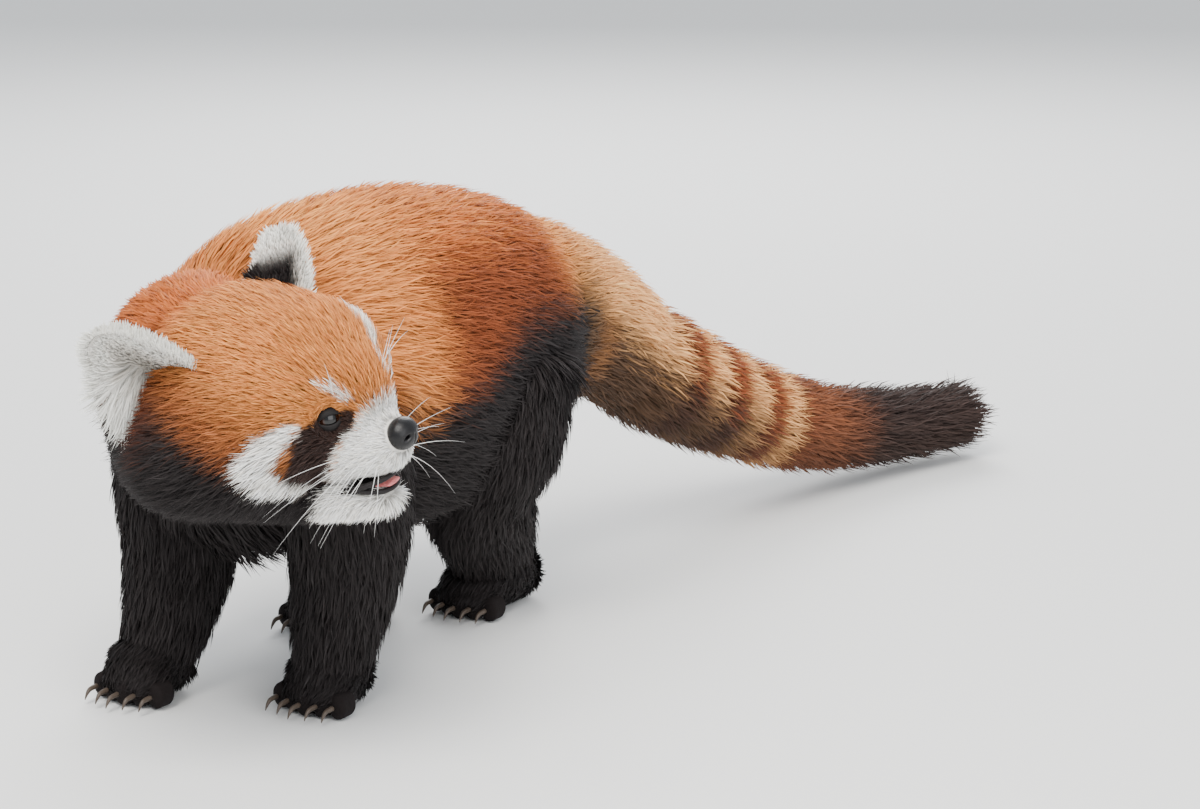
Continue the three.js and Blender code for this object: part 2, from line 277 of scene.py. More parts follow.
def closed(corners, quads, sides):
    # Triangles of a tube, with each open end ring closed by a fan round its corners' mean.
    last = len(corners)
    ends = np.array([corners[:sides].mean(0), corners[-sides:].mean(0)])
    j = np.arange(sides)
    k = (j + 1) % sides
    first = np.stack([np.full(sides, last), j, k], 1)
    final = np.stack([np.full(sides, last + 1), last - sides + k, last - sides + j], 1)
    return np.concatenate([corners, ends]), np.concatenate([asTriangles(quads), first, final])


def asOne(bodies):
    # One array of corners and one of faces from several bodies: each body's faces plus the corners before it.
    starts = np.cumsum([0] + [len(corners) for corners, _ in bodies[:-1]])
    faces = [tris + start for (_, tris), start in zip(bodies, starts)]
    return np.concatenate([corners for corners, _ in bodies]), np.concatenate(faces)


# Skin: the parts' cores joined by a fine remesh, and relaxed
skinSettings = {"voxel": 2.6, "relax": 6, "fieldRelax": 14, "rows": 56, "sides": 64}
bodies = []
samples = []
lies = []
owners = []
places = []
partNames = list(parts)
for number, part in enumerate(parts.values()):
    p, quads, lie, place = tube(part, skinSettings["rows"], skinSettings["sides"], part["coat"])
    samples.append(p)
    lies.append(lie)
    places.append(place)
    owners.append(np.full(len(p), number))
    bodies.append(closed(p, quads, skinSettings["sides"]))
corners, tris = asOne(bodies)
rough = meshFrom("rough", inRow(corners), tris)
remesh = rough.modifiers.new("join", "REMESH")
remesh.mode = "VOXEL"
remesh.voxel_size = skinSettings["voxel"] * mm
evaluated = rough.evaluated_get(bpy.context.evaluated_depsgraph_get())
joined = bpy.data.meshes.new_from_object(evaluated)
bpy.data.objects.remove(rough)
count = len(joined.vertices)
skinPoints = np.empty(count * 3, np.float32)
joined.vertices.foreach_get("co", skinPoints)
skinPoints = skinPoints.reshape(-1, 3).astype(float)
edges = np.empty(len(joined.edges) * 2, np.int32)
joined.edges.foreach_get("vertices", edges)
edges = edges.reshape(-1, 2)
degree = np.bincount(edges.ravel(), minlength=count)[:, None]


def relaxed(values, passes, share=0.6):
    # Each corner's values plus a share of what they lack to its neighbours' mean, some passes over.
    first, second = edges.T
    for _ in range(passes):
        total = np.stack([
            np.bincount(first, values[second, k], count) + np.bincount(second, values[first, k], count)
            for k in range(values.shape[1])
        ], 1)
        values = values + share * (total / np.maximum(degree, 1) - values)
    return values


skinPoints = relaxed(skinPoints, skinSettings["relax"])

# The skin is pressed in at each eye, so that the ball and its lids stand in a socket.
socket = {"depth": 4.3, "inner": 7.5, "outer": 13.0, "rise": 9.0, "far": 25}
for sign in (1, -1):
    look = (gaze * [1, sign, 1]) @ headAxes
    eyeMiddle = fromHead(eyePlace * [1, sign, 1])
    away = (skinPoints - toRow) / mm - eyeMiddle
    reach = away @ look
    radius = np.linalg.norm(away - reach[:, None] * look, axis=1)
    most = socket["depth"] + socket["rise"] * smooth(radius, socket["inner"], socket["outer"])
    inside = (radius < socket["outer"]) & (reach > most) & (reach < socket["far"])
    push = np.where(inside, reach - most, 0)
    skinPoints = skinPoints - (push * mm)[:, None] * look
joined.vertices.foreach_set("co", skinPoints.astype(np.float32).ravel())
joined.update()
skin = bpy.data.objects.new("skin", joined)
bpy.context.scene.collection.objects.link(skin)
joined.polygons.foreach_set("use_smooth", np.full(len(joined.polygons), True))
print("skin", count, "corners", len(joined.polygons), "faces")

# What each corner of the skin belongs to, from the nearest point of the parts
samples = inRow(np.concatenate(samples))
lies = unit(np.concatenate(lies))
owners = np.concatenate(owners)
places = np.concatenate(places)
tree = KDTree(len(samples))
for i, p in enumerate(samples):
    tree.insert(p, i)
tree.balance()
nearest = np.array([tree.find(p)[1] for p in skinPoints])
table = np.array([[parts[n]["length"], parts[n]["lift"]] for n in partNames], float)
skinOwner = owners[nearest]
skinField = relaxed(np.concatenate([lies[nearest], table[skinOwner]], 1), skinSettings["fieldRelax"])
skinPlace = places[nearest]
print("fields ready")


# Markings, by place in the animal's frame. Tones are display colours made linear.
tones = {
    "rust": linear(178, 92, 38), "gold": linear(222, 148, 76), "deep": linear(110, 50, 20),
    "dark": linear(24, 18, 18), "brown": linear(52, 34, 24), "white": linear(250, 246, 238),
    "cream": linear(228, 168, 108), "ring": linear(128, 62, 28), "tear": linear(44, 26, 20),
    "grey": linear(138, 130, 116), "umber": linear(120, 68, 40), "tip": linear(50, 36, 32),
}


def stroke(h, line, soft=3.0):
    # 1 within a line's own radius and 0 beyond soft more, from the distance to its nearest stretch.
    # The line's rows are [x, y, z, radius].
    line = np.array(line, float)
    reach = np.full(len(h), np.inf)
    for a, b in zip(line[:-1], line[1:]):
        along = b[:3] - a[:3]
        t = np.clip((h - a[:3]) @ along / (along @ along), 0, 1)
        gap = np.linalg.norm(h - (a[:3] + t[:, None] * along), axis=1) - (a[3] + t * (b[3] - a[3]))
        reach = np.minimum(reach, gap)
    return 1 - smooth(reach, 0, soft)


# The face's marks, as strokes in the head's frame for both sides, but for the temple's painted highlight, on
# the left alone
faceMarks = {
    "templeHighlight": [(15, 52, 40, 4), (30, 44, 38, 5), (44, 34, 30, 4)],
    "tear": [(52, 28, -5, 6), (49, 34, 1, 7), (43, 41, -9, 13), (37, 42, -21, 13), (30, 33, -32, 10)],
    "cheek": [(37, 51, 5, 3.5), (27, 62, 0, 7), (18, 67, -8, 8), (18, 61, -20, 6), (24, 42, -32, 3.5),
              (27, 28, -38, 3)],
    "brow": [(45, 32, 25, 1.5), (52, 26, 21, 3.6), (57, 22, 13, 2.6)],
    "lidEdge": [(49, 37, 5, 4), (55, 25, 1, 5)],
}


def markings(p, owner, wobble):
    # A colour for each point: one tone is mixed over another by smooth steps of its place along the body,
    # its height, and its distance to the strokes on the face.
    # p in millimetres in the animal's frame, owner the part's number, wobble a small random shift.
    y, z = p[:, 1], p[:, 2] + 8 * wobble
    colour = np.broadcast_to(tones["rust"], p.shape).copy()
    shoulder = np.exp(-(((y + 62) / 46) ** 2))
    rump = smooth(y, 105, 160)
    golden = 0.6 * shoulder + 0.8 * rump + 0.45 * smooth(z, 240, 280) + 0.12 * wobble
    colour = mix(colour, tones["gold"], np.clip(golden, 0, 0.95))
    saddle = smooth(262 - z, 0, 34) * smooth(y, -42, 0) * (1 - smooth(y, 90, 150))
    neckShade = smooth(246 - z, 0, 34) * smooth(-y, 120, 175)
    colour = mix(colour, tones["deep"], np.clip(0.9 * saddle + 0.9 * neckShade, 0, 1))
    line = 172 - 14 * shoulder + 26 * smooth(y, 0, 70) + 22 * smooth(-y, 130, 200)
    colour = mix(colour, tones["dark"], smooth(line - z, -24, 12) * (1 - smooth(y, 170, 205)))
    # The tail: rings of 44 mm from its root on, then umber, then the dark tip, and brown below as painted
    # shade on its underside.
    isTail = np.isin(owner, [partNames.index("tail"), partNames.index("rump")])
    path = np.array(parts["tail"]["stations"], float)
    middle = np.interp(y, path[:, 1], path[:, 2])
    t = y - 282 + 0.25 * (middle - z)
    ring = 0.5 + 0.5 * np.sin(t / 7.0)
    rings = smooth(ring, 0.25, 0.8) * smooth(t, -12, 12)
    tail = mix(np.broadcast_to(tones["cream"], p.shape), tones["ring"], rings)
    tail = mix(tail, tones["umber"], smooth(t, 112, 158))
    tail = mix(tail, tones["tip"], smooth(t, 165, 235))
    # Painted shade: the tail's underside, below its middle line, is darkened to brown as if in shadow.
    paintedTailShade = smooth(middle - z, -10, 16) * (1 - 0.55 * smooth(y, 330, 420)) * smooth(y, 150, 185)
    tail = mix(tail, tones["brown"], 0.95 * paintedTailShade)
    colour = np.where(isTail[:, None], mix(colour, tail, smooth(y, 150, 215)), colour)
    legs = np.array(["Leg" in n or "Paw" in n for n in partNames])[owner]
    colour = np.where(legs[:, None], mix(colour, tones["dark"], smooth(190 - z, -10, 30)), colour)
    # The face, in the head's frame
    h = toHead(p)
    onHead = np.array([bool(parts[n].get("head")) for n in partNames])[owner]
    hx, hy, hz = h.T
    side = np.abs(hy)
    even = np.stack([hx, side, hz], 1) + 1.6 * wobble[:, None]
    farSide = hy > 0
    face = mix(np.broadcast_to(tones["rust"], p.shape), tones["gold"], 0.62 + 0.3 * wobble)
    low = -0.8 * hz - 0.6 * hx
    face = mix(face, tones["deep"], 0.8 * smooth(low, -44, -8) * smooth(side, 34, 62))
    throat = smooth(side + 2 * np.maximum(-hz - 20, 0), 30, 50)
    face = mix(face, tones["dark"], smooth(low + 4 * wobble, -12, 7) * throat)
    # Painted highlight: a white stroke on the temple of the left side alone.
    face = mix(face, tones["white"], stroke(even, faceMarks["templeHighlight"], 6) * farSide * 0.85)
    face = mix(face, tones["tear"], stroke(even, faceMarks["tear"]))
    face = mix(face, tones["white"], stroke(even, faceMarks["cheek"]))
    edge = hx - (56.5 + 0.72 * hz) + 3 * wobble
    face = mix(face, tones["white"], smooth(edge, -2.5, 2.5) * smooth(12 - hz, 0, 8))
    nearer = even - np.where(farSide, 5.0, 0.0)[:, None] * [0.4, -1, 0]
    face = mix(face, tones["white"], stroke(nearer, faceMarks["brow"], 2))
    face = mix(face, tones["tear"], stroke(even, faceMarks["lidEdge"]))
    # The back of the head takes the neck's tones.
    face = mix(face, colour, smooth(-hx, 22, 48))
    return np.where(onHead[:, None], face, colour)


skinMm = (skinPoints - toRow) / mm
skinNormals = np.empty(count * 3, np.float32)
joined.vertices.foreach_get("normal", skinNormals)
skinNormals = skinNormals.reshape(-1, 3)
skinColour = markings(skinMm, skinOwner, np.zeros(count))


def paint(mesh, colours):
    # One linear colour for each corner, as the attribute that the coat's material reads.
    layer = mesh.attributes.new("coat", "FLOAT_COLOR", "POINT")
    rgba = np.concatenate([colours, np.ones((len(colours), 1))], 1)
    layer.data.foreach_set("color", rgba.astype(np.float32).ravel())


paint(joined, skinColour * 0.7)


# Materials: fur and underfur take the painted tones, and the bare finishes a fine noise.

def coatMaterial(name, roughness, sheen, bump, scale=900, distance=0.0006):
    # The painted attribute as base colour, with a fine noise as bump where bump is over 0.
    made = bpy.data.materials.new(name)
    made.use_nodes = True
    nodes, links = made.node_tree.nodes, made.node_tree.links
    shader = nodes["Principled BSDF"]
    shader.inputs["Roughness"].default_value = roughness
    shader.inputs["Sheen Weight"].default_value = sheen
    shader.inputs["Specular IOR Level"].default_value = 0.2
    colour = nodes.new("ShaderNodeAttribute")
    colour.attribute_name = "coat"
    links.new(colour.outputs["Color"], shader.inputs["Base Color"])
    if bump:
        where = nodes.new("ShaderNodeTexCoord")
        noise = nodes.new("ShaderNodeTexNoise")
        noise.inputs["Scale"].default_value = scale
        height = nodes.new("ShaderNodeBump")
        height.inputs["Distance"].default_value = distance
        height.inputs["Strength"].default_value = bump
        links.new(where.outputs["Object"], noise.inputs["Vector"])
        links.new(noise.outputs["Fac"], height.inputs["Height"])
        links.new(height.outputs["Normal"], shader.inputs["Normal"])
    return made


def plainMaterial(name, colour, roughness, coat=0.0, bump=0.0, scale=1500, distance=0.0003):
    # One noise runs the colour from 0.7 to 1.25 times its tone and gives the bump.
    made = bpy.data.materials.new(name)
    made.use_nodes = True
    nodes, links = made.node_tree.nodes, made.node_tree.links
    shader = nodes["Principled BSDF"]
    shader.inputs["Roughness"].default_value = roughness
    shader.inputs["Coat Weight"].default_value = coat
    shader.inputs["Specular IOR Level"].default_value = 0.3
    where = nodes.new("ShaderNodeTexCoord")
    noise = nodes.new("ShaderNodeTexNoise")
    noise.inputs["Scale"].default_value = scale
    ramp = nodes.new("ShaderNodeValToRGB")
    ramp.color_ramp.elements[0].color = (*(colour * 0.7), 1)
    ramp.color_ramp.elements[1].color = (*np.minimum(colour * 1.25, 1), 1)
    links.new(where.outputs["Object"], noise.inputs["Vector"])
    links.new(noise.outputs["Fac"], ramp.inputs["Fac"])
    links.new(ramp.outputs["Color"], shader.inputs["Base Color"])
    if bump:
        height = nodes.new("ShaderNodeBump")
        height.inputs["Distance"].default_value = distance
        height.inputs["Strength"].default_value = bump
        links.new(noise.outputs["Fac"], height.inputs["Height"])
        links.new(height.outputs["Normal"], shader.inputs["Normal"])
    return made


furMaterial = coatMaterial("fur", 0.7, 0.03, 0)
skinMaterial = coatMaterial("underfur", 0.9, 0.0, 0.5)
blackWet = plainMaterial("nosePad", linear(12, 11, 13), 0.36, bump=0.5)
# The lips' own black, which also serves as painted shade in the mouth's hollow.
blackLipsAndMouthShade = plainMaterial("lips", linear(18, 12, 13), 0.6, bump=0.2)
mouthPink = plainMaterial("mouthPink", linear(196, 104, 104), 0.4, coat=0.2, bump=0.3)
clawHorn = plainMaterial("claw", linear(74, 64, 56), 0.4)
whiskerWhite = plainMaterial("whisker", linear(240, 238, 232), 0.45)
lidSkin = plainMaterial("lid", linear(15, 11, 11), 0.75, bump=0.3)


def finishPiece(made, material, *replaced):
    # Gives the piece its material and its body, and hides the nodes that it stands for.
    made.data.materials.append(material)
    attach(made, "root")
    if replaced:
        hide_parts(*replaced)


fleshNames = ("torso", "neck", "head", "jaw", "leg", "paw", "tail")
finishPiece(skin, skinMaterial, *[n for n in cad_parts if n.startswith(fleshNames)])

# Ears: a cupped leaf from its root to its tip, for each side.
# The path's rows are [x, y, z, half width, depth of the cup].
earSettings = {
    "path": [(-32, 48, 26, 21, 8), (-35, 64, 41, 24, 8), (-39, 77, 58, 20, 6), (-42, 86, 71, 12, 4),
             (-43, 89, 76, 2.5, 1)],
    "rows": 28, "sides": 48, "wall": 1.3, "bow": 1.3, "tufts": 8500, "tuftWidth": 0.9,
}
ears = {}
for sideName, sign in (("left", 1), ("right", -1)):
    path = np.array(earSettings["path"], float)
    path[:, 1] *= sign
    rows, sides, wall = earSettings["rows"], earSettings["sides"], earSettings["wall"]
    at = curve(path, np.linspace(0, 1, rows))
    along = unit(np.gradient(at[:, :3], axis=0))
    facing = np.array([0.15, 0.98 * sign, 0.0])
    across = unit(np.cross(along, facing))
    outward = np.cross(across, along)
    angle = circle(sides)
    c, s = np.cos(angle)[None, :, None], np.sin(angle)[None, :, None]
    wide = at[:, None, 3:4]
    deep = at[:, None, 4:5]
    # Both faces bow back in the middle; the front one lies a wall's thickness before the back one.
    bow = -deep * earSettings["bow"] * (1 - c**2)
    bow = bow + np.where(s >= 0, wall, -wall) * np.minimum(np.abs(s) * 3, 1)
    p = at[:, None, :3] + across[:, None] * c * wide + outward[:, None] * bow
    flat = p.reshape(-1, 3)
    quads = np.roll(ringQuads(rows, sides), -1, axis=1)
    corners, tris = closed(flat, quads, sides)
    front = np.broadcast_to(s > 0, (rows, sides, 1)).reshape(-1)
    share = np.repeat(np.linspace(0, 1, rows), sides)
    rim = np.broadcast_to(np.abs(c), (rows, sides, 1)).reshape(-1)
    toRim = np.sign(np.broadcast_to(c, (rows, sides, 1)).reshape(-1, 1))
    # White outside and at the rim, dark at the back's root and grey deep in the cup.
    white = np.broadcast_to(tones["white"], flat.shape)
    tone = mix(white, tones["dark"], (~front) * smooth(0.62 - share, 0, 0.2) * smooth(0.95 - rim, 0, 0.2))
    tone = mix(tone, tones["grey"], 0.7 * front * smooth(0.7 - share, 0, 0.4) * smooth(0.5 - rim, 0, 0.4))
    ears[sideName] = {
        "points": fromHead(flat), "tone": tone, "front": front, "share": share, "rim": rim,
        "lie": np.repeat(along, sides, axis=0) @ headAxes,
        "normal": (np.where(front[:, None], 1, -1) * np.repeat(outward, sides, axis=0)) @ headAxes,
        "edge": np.repeat(across, sides, axis=0) @ headAxes * toRim,
        "quads": quads,
    }
    ear = meshFrom("ear_" + sideName + "_skin", inRow(fromHead(corners)), tris)
    paint(ear.data, np.concatenate([tone, tone[:1], tone[-1:]]) * 0.6)
    finishPiece(ear, skinMaterial, "ear_" + sideName)
print("ears ready")


def eyeMaterial():
    # The painted rings as base colour, under a thin clear coat.
    made = bpy.data.materials.new("eye")
    made.use_nodes = True
    nodes, links = made.node_tree.nodes, made.node_tree.links
    shader = nodes["Principled BSDF"]
    shader.inputs["Roughness"].default_value = 0.12
    shader.inputs["Coat Weight"].default_value = 0.25
    shader.inputs["Specular IOR Level"].default_value = 0.35
    ring = nodes.new("ShaderNodeAttribute")
    ring.attribute_name = "coat"
    links.new(ring.outputs["Color"], shader.inputs["Base Color"])
    return made


# Eyes: a ball with a brown iris and a black pupil, between two lids that leave an almond open.
# Each ring of the lids has its share of the way from the almond to the outer edge, and its radius.
eyeMade = eyeMaterial()
eyeSettings = {
    "rows": 40, "sides": 48, "gap": 0.02, "pupil": (0.5, 0.56), "iris": (0.86, 0.92),
    "pupilTone": (6, 5, 5), "irisTone": (40, 20, 11), "ballTone": (30, 20, 18),
}
lidSettings = {
    "sides": 64, "almond": (6.4, 2.6), "outer": (10.6, 9.6),
    "shares": [0, 0, 0.1, 0.3, 0.55, 0.8, 1, 0.5],
    "lifts": [7.05, 7.75, 8.3, 8.5, 8.4, 7.8, 6.4, 6.6],
}
for sideName, sign in (("left", 1), ("right", -1)):
    look = gaze * [1, sign, 1]
    acrossEye = unit(np.cross((0, 0, 1.0), look))
    upEye = np.cross(look, acrossEye)
    eyeMiddle = eyePlace * [1, sign, 1]
    rows, sides, gap = eyeSettings["rows"], eyeSettings["sides"], eyeSettings["gap"]
    p = eyeMiddle + eyeRadius * ballWays(look, acrossEye, upEye, rows, sides, gap)
    corners, tris = closed(p.reshape(-1, 3), ringQuads(rows, sides), sides)
    eyeBall = meshFrom("eye_" + sideName + "_ball", inRow(fromHead(corners)), tris)
    bends = np.append(np.repeat(np.linspace(gap, math.pi - gap, rows), sides), [0, math.pi])
    pupilTone, irisTone, ballTone = (linear(*eyeSettings[k]) for k in ("pupilTone", "irisTone", "ballTone"))
    tone = mix(np.broadcast_to(pupilTone, (len(bends), 3)), irisTone, smooth(bends, *eyeSettings["pupil"]))
    paint(eyeBall.data, mix(tone, ballTone, smooth(bends, *eyeSettings["iris"])))
    finishPiece(eyeBall, eyeMade, "eye_" + sideName)
    # Lids: a band from the almond's edge out over the ball and back into the skin.
    sides = lidSettings["sides"]
    c, s = np.cos(circle(sides)), np.sin(circle(sides))
    almond = np.stack([c, s * (1 - 0.25 * c**2)], 1) * lidSettings["almond"]
    outer = np.stack([c, s], 1) * lidSettings["outer"]
    rings = []
    for share, lift in zip(lidSettings["shares"], lidSettings["lifts"]):
        flatPlace = mix(almond, outer, np.full(sides, share))
        radius = np.linalg.norm(flatPlace, axis=1)
        depth = np.sqrt(np.maximum(lift**2 - radius**2, 0)) - np.maximum(radius - lift, 0) * 0.9
        flatWay = acrossEye * flatPlace[:, :1] + upEye * flatPlace[:, 1:]
        rings.append(eyeMiddle + look * depth[:, None] + flatWay)
    quads = ringQuads(len(rings), sides, joinEnds=True)
    lids = meshFrom("lids_" + sideName, inRow(fromHead(np.concatenate(rings))), quads)
    finishPiece(lids, lidSkin)
print("eyes ready")

# Nose pad: a ball pressed in at the nostrils and along the groove below. Depths and widths are shares of it.
noseSettings = {
    "middle": (71, 0, -16), "half": (8, 10.5, 9), "rows": 72, "sides": 96, "gap": 0.01,
    "nostril": 0.42, "nostrilOut": 0.52, "nostrilWide": 0.17, "nostrilHigh": 0.13,
    "groove": 0.10, "grooveWide": 0.06,
}
rows, sides = noseSettings["rows"], noseSettings["sides"]
direction = ballWays(*np.eye(3), rows, sides, noseSettings["gap"])
across, over = direction[..., 1], direction[..., 2]
outFromNostril = (np.abs(across) - noseSettings["nostrilOut"]) / noseSettings["nostrilWide"]
overNostril = (over + 0.12 + 0.4 * (np.abs(across) - 0.5)) / noseSettings["nostrilHigh"]
press = noseSettings["nostril"] * np.exp(-outFromNostril ** 2 - overNostril ** 2)
groove = np.exp(-(across / noseSettings["grooveWide"]) ** 2) * smooth(-over, -0.1, 0.2)
press += noseSettings["groove"] * groove
shape = 1 - press * (direction[..., 0] > 0)
nosePoints = np.array(noseSettings["middle"]) + direction * noseSettings["half"] * shape[..., None]
corners, tris = closed(nosePoints.reshape(-1, 3), ringQuads(rows, sides), sides)
nose = meshFrom("nosePad", inRow(fromHead(corners)), tris)
finishPiece(nose, blackWet, "nose")


def closedTube(stations, rows, sides, capRows=5, head=False):
    # The corners and triangles of a tube through the stations, with both ends closed.
    part = {"stations": stations, "up": upward, "sense": 1, "head": head}
    p, quads, _, _ = tube(part, rows, sides, 0, capRows)
    return closed(p, quads, sides)


# Mouth: a dark hollow behind the lips as painted shade inside the open mouth, the lips' own edges and the
# tongue, in the head's frame.
# A lip runs round from one corner at -1 to the other at 1: front less back times the bend's power ahead,
# and wide times its power sideways.
mouthSettings = {
    "hollow": [(18, 0, -42, 22, 5, 5), (36, 0, -42.5, 20, 4.5, 4.5), (50, 0, -43, 14, 3.5, 3.5)],
    "tongue": [(30, 0, -41.5, 9, 1.6, 1.6), (46, 0, -42.6, 9.5, 1.8, 1.6), (58, 0, -43.6, 6.5, 1.4, 1.3)],
    "rows": 24, "sides": 24,
}
lipSettings = {
    "upperLip": {"front": 62, "back": 17, "wide": 20, "height": -37, "rise": -3.5, "risePower": 1},
    "lowerLip": {"front": 57, "back": 13, "wide": 18.5, "height": -46.5, "rise": 5.5, "risePower": 2},
    "radius": 1.5, "rows": 60, "sides": 10,
}
rows, sides = mouthSettings["rows"], mouthSettings["sides"]
# Painted shade: the hollow is dark to stand for the shade inside the open mouth.
corners, tris = closedTube(mouthSettings["hollow"], rows, sides, head=True)
finishPiece(meshFrom("mouthShadeHollow", inRow(corners), tris), blackLipsAndMouthShade)
corners, tris = closedTube(mouthSettings["tongue"], rows, sides, head=True)
tongue = meshFrom("tongueTop", inRow(corners), tris)
finishPiece(tongue, mouthPink, "tongue")
bend = np.linspace(-1, 1, 9)
for name in ("upperLip", "lowerLip"):
    lip = lipSettings[name]
    line = np.stack([
        lip["front"] - lip["back"] * np.abs(bend) ** 1.7,
        lip["wide"] * np.sign(bend) * np.abs(bend) ** 0.7,
        lip["height"] + lip["rise"] * np.abs(bend) ** lip["risePower"],
        *np.full((3, len(bend)), lipSettings["radius"]),
    ], 1)
    corners, tris = closedTube(line, lipSettings["rows"], lipSettings["sides"], head=True)
    finishPiece(meshFrom(name, inRow(corners), tris), blackLipsAndMouthShade)

# Claws and toes: one claw on each of a paw's five toes, bent down, and rounded ends under the fur.
# splay is the step between toes as a share of the paw's half width, and back how far behind the middle
# toe each next one lies.
toeSettings = {"splay": 0.42, "back": 2.6, "wide": 0.25, "rows": 8, "sides": 20}
clawSettings = {"radius": 1.6, "tip": 0.25, "rows": 10, "sides": 10, "capRows": 2}
clawBodies = []
toeBodies = []
for paw in paws.values():
    for toe in (-2, -1, 0, 1, 2):
        x = paw["x"] + toe * toeSettings["splay"] * paw["half"]
        y = paw["y"] - paw["length"] / 2 + abs(toe) * toeSettings["back"]
        r, tip, wide = clawSettings["radius"], clawSettings["tip"], paw["half"] * toeSettings["wide"]
        claw = [(x, y + 2, 9, r, r, r), (x, y - 4, 8.6, r * 0.85, r * 0.85, r * 0.85),
                (x, y - 7, 6, r * 0.5, r * 0.5, r * 0.5), (x, y - 8.5, 3.4, tip, tip, tip)]
        clawBodies.append(closedTube(claw, *(clawSettings[k] for k in ("rows", "sides", "capRows"))))
        ball = [(x, y + 16, 9, wide, 8, 8), (x, y + 7, 8.6, wide, 7.6, 7.8)]
        toeBodies.append(closedTube(ball, toeSettings["rows"], toeSettings["sides"]))
corners, tris = asOne(clawBodies)
finishPiece(meshFrom("claws", inRow(corners), tris), clawHorn)
corners, tris = asOne(toeBodies)
toes = meshFrom("toes", inRow(corners), tris)
paint(toes.data, np.broadcast_to(tones["dark"], corners.shape) * 0.8)
finishPiece(toes, skinMaterial)
print("face and feet ready")


# Coat: each tuft is a thin blade of two quads and a tip, rooted on the skin and bent along its lie.
# The shares of its length have a width each, and the chart has a small patch for it.
blade = {
    "shares": (0, 0.3, 0.65, 1.0), "widths": (0.8, 1.0, 0.75, 0.0), "rootDepth": 0.0012, "floorGap": 0.0005,
    "roll": 0.5, "sway": 0.12, "bend": 1.8,
    "faces": [(0, 3, 1), (0, 2, 3), (2, 5, 3), (2, 4, 5), (4, 6, 5)],
    "patch": [(-1, -1), (1, -1), (-1, -0.3), (1, -0.3), (-1, 0.4), (1, 0.4), (0, 1)], "patchSize": 0.0014,
}


def coatPiece(name, roots, normals, lie, length, width, lift, rootTone, tipTone, place):
    # A blade's middle is its root plus its length times (rise along the normal, run along the lie, and a
    # sway to the side that grows as the share squared). Half its width goes to each side of the middle.
    # Arrays with one row for each tuft, in metres.
    n = len(roots)
    lie = unit(lie - normals * (lie * normals).sum(1, keepdims=True))
    side = unit(np.cross(normals, lie))
    rollAngle = rng.normal(0, blade["roll"], (n, 1))
    across = side * np.cos(rollAngle) + normals * np.sin(rollAngle)
    sway = rng.normal(0, blade["sway"], (n, 1))
    corners = []
    for share, wide in zip(blade["shares"], blade["widths"]):
        # It leaves the skin steeply and bends over along its lie.
        rise = np.sin(lift)[:, None] * (1 - (1 - share) ** blade["bend"])
        run = np.cos(lift)[:, None] * share
        centre = roots + length[:, None] * (normals * rise + lie * run + side * sway * share**2)
        if share == 0:
            centre = centre - normals * blade["rootDepth"]
        if wide > 0:
            corners.append(centre - across * (0.5 * width * wide)[:, None])
            corners.append(centre + across * (0.5 * width * wide)[:, None])
        else:
            corners.append(centre)
    p = np.stack(corners, 1)
    p[..., 2] = np.maximum(p[..., 2], blade["floorGap"])
    bases = (np.arange(n) * len(corners))[:, None, None]
    made = meshFrom(name, p.reshape(-1, 3), (bases + blade["faces"]).reshape(-1, 3))
    shares = np.repeat(blade["shares"], [2, 2, 2, 1])[None, :, None]
    tone = rootTone[:, None] * (1 - shares) + tipTone[:, None] * shares
    paint(made.data, tone.reshape(-1, 3))
    uv = (place[:, None] + np.array(blade["patch"]) * blade["patchSize"]).reshape(-1, 2)
    layer = made.data.uv_layers.new(name="OFBake")
    loops = np.empty(len(made.data.loops), np.int32)
    made.data.loops.foreach_get("vertex_index", loops)
    layer.data.foreach_set("uv", np.clip(uv[loops], 0, 1).astype(np.float32).ravel())
    finishPiece(made, furMaterial)
    return made


# A chart for each part and each ear, side by side on the unwrap
grid = int(math.ceil(math.sqrt(len(partNames) + len(ears))))
chartEdge = 0.03


def chart(number, place):
    # The number's column and row of the grid, plus the place within its cell less an edge, over the grid.
    column, row = number % grid, number // grid
    return (np.stack([column, row], -1) + chartEdge + (1 - 2 * chartEdge) * place) / grid


joined.calc_loop_triangles()
triangles = np.empty(len(joined.loop_triangles) * 3, np.int32)
joined.loop_triangles.foreach_get("vertices", triangles)
triangles = triangles.reshape(-1, 3)
first, second, third = skinPoints[triangles].transpose(1, 0, 2)
areas = 0.5 * np.linalg.norm(np.cross(second - first, third - first), axis=1)
triOwner = skinOwner[triangles[:, 0]]

# Tufts to a square centimetre and their width in millimetres
coats = {
    "head": {"parts": ["skull"], "dense": 165, "width": 0.72, "slot": "rust_coat"},
    "muzzle": {"parts": ["muzzle", "jaw"], "dense": 340, "width": 0.5, "slot": "cream_coat"},
    "neck": {"parts": ["neck"], "dense": 66, "width": 1.1, "slot": "rust_coat"},
    "torso": {"parts": ["torso", "rump"], "dense": 52, "width": 1.15, "slot": "rust_coat"},
    "frontLegs": {
        "parts": ["frontLeftLeg", "frontRightLeg"], "dense": 54, "width": 1.15, "slot": "dark_coat",
    },
    "hindLegs": {
        "parts": ["hindLeftLeg", "hindRightLeg"], "dense": 52, "width": 1.2, "slot": "dark_coat",
    },
    "paws": {"parts": list(paws), "dense": 95, "width": 0.8, "slot": "dark_coat"},
    "tail": {"parts": ["tail"], "dense": 62, "width": 1.2, "slot": "tail_coat"},
}
densityScale = 1.0
mostTufts = 38000
# Bare places, in millimetres: half sizes round each eye and the nose pad, the gap between the lips,
# and what would stand too low above the floor
bare = {
    "eye": (12, 8.6, 5.6), "eyeAhead": 5, "nose": (8, 10.4, 8.9),
    "lips": 4.6, "lipsAt": -42, "lipsFrom": 45, "lipsWide": 30, "floor": 3,
}
# How much longer the tufts are on the cheeks, the nape and the belly, and how much shorter round the eyes
lengths = {"ruff": 0.5, "nape": 1.1, "below": 0.35, "nearEye": 0.72}
